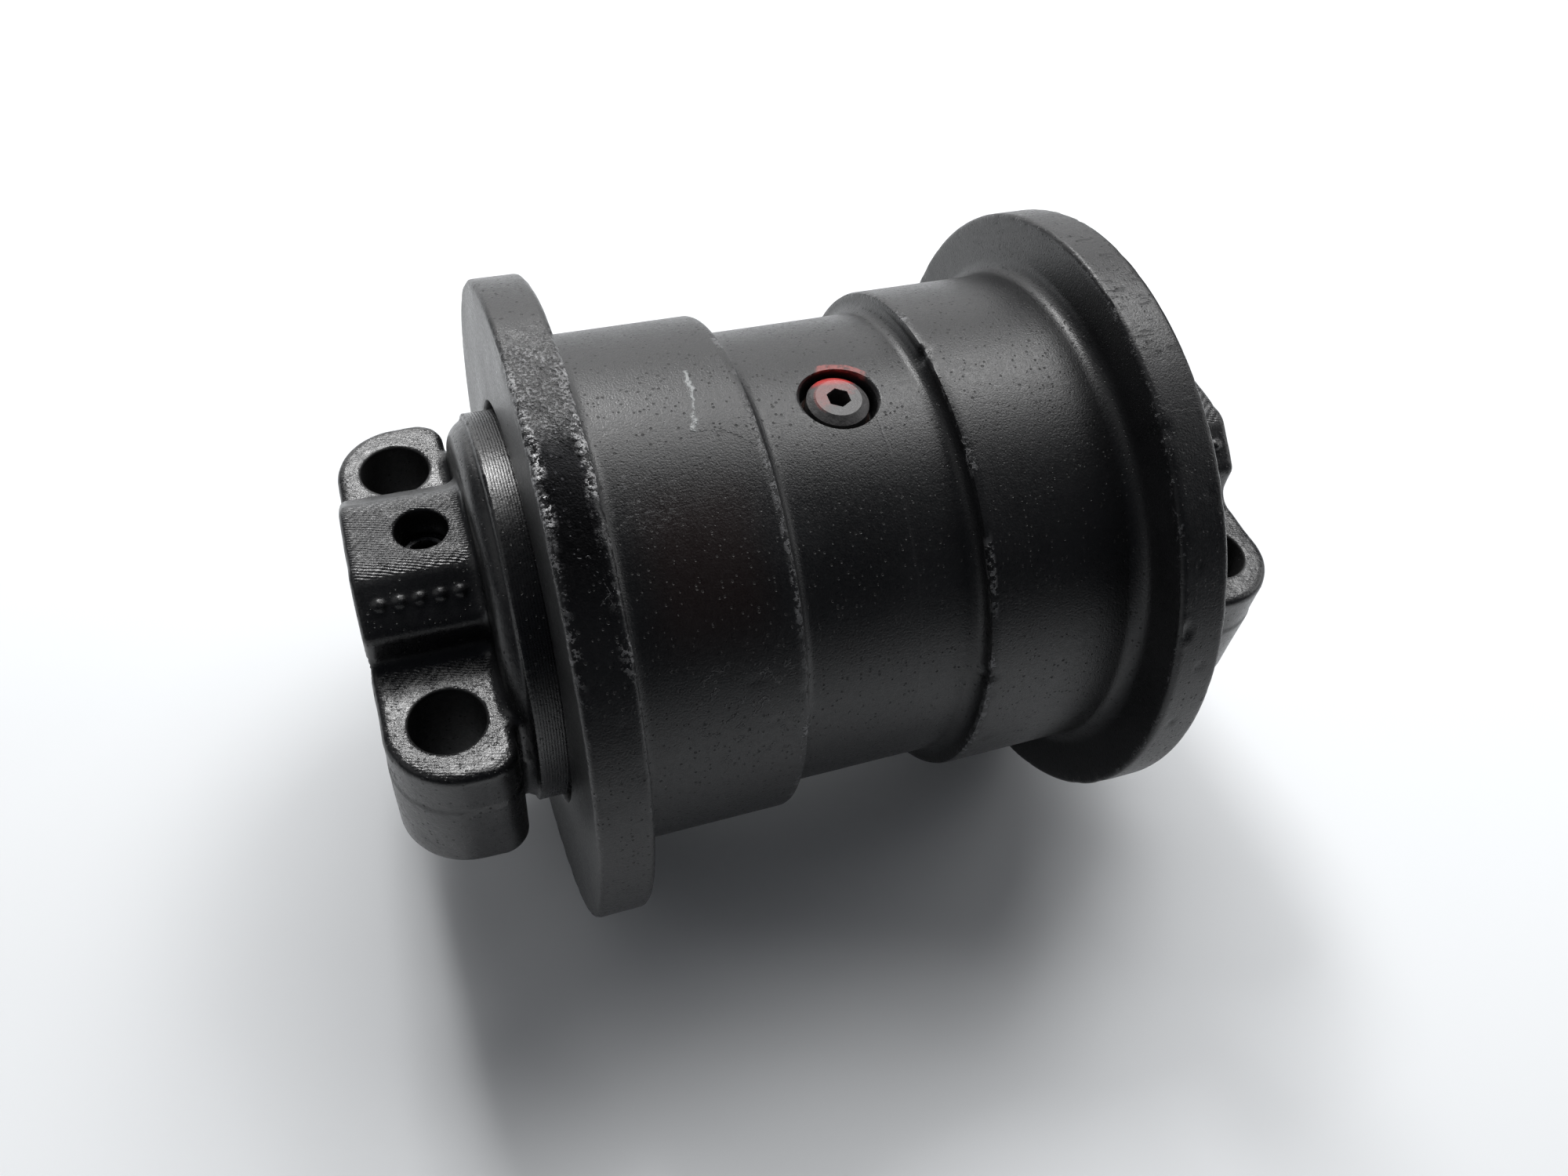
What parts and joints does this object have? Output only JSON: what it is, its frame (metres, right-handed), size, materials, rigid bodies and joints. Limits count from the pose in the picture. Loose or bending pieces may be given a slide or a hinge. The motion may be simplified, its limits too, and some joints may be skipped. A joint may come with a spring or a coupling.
{
  "type": "track roller",
  "caption": "Bottom track roller with two outer flanges on a sealed oil-filled shell that turns on a fixed shaft, carried by a cast bolt-on collar at each end.",
  "frame": {"origin": "middle of the shaft axis, which is the middle of the whole roller", "axes": "+X along the shaft, +Z out of the side of the collars with the raised blocks and lock pins, so the machined bolting pads face -Z"},
  "size_m": [0.2688, 0.188, 0.188],
  "materials": {
    "shell_paint": "satin black paint over forged steel",
    "collar_paint": "satin black paint over rough sand casting",
    "shaft_steel": "ground",
    "bush_bronze": "turned bronze",
    "pin_steel": "blackened spring steel",
    "seal_iron": "lapped face",
    "seal_rubber": "matte",
    "plug_steel": "painted black with a wipe of red",
    "washer_copper": "flat ring"
  },
  "bodies": {
    "axle": {"shaft": "shaft_steel", "left_collar": "collar_paint", "right_collar": "collar_paint", "left_lock_pin": "pin_steel", "right_lock_pin": "pin_steel", "left_shaft_o_ring": "seal_rubber", "right_shaft_o_ring": "seal_rubber", "left_collar_seal_ring": "seal_iron", "right_collar_seal_ring": "seal_iron", "left_collar_toric": "seal_rubber", "right_collar_toric": "seal_rubber"},
    "roller": {"roller_shell": "shell_paint", "left_bush": "bush_bronze", "right_bush": "bush_bronze", "left_shell_seal_ring": "seal_iron", "right_shell_seal_ring": "seal_iron", "left_shell_toric": "seal_rubber", "right_shell_toric": "seal_rubber", "oil_plug": "plug_steel", "plug_washer": "washer_copper"}
  },
  "joints": [
    {"name": "roller_spin", "type": "hinge", "parent": "axle", "child": "roller", "pos_m": [0, 0, 0], "axis": [1, 0, 0], "continuous": true}
  ]
}
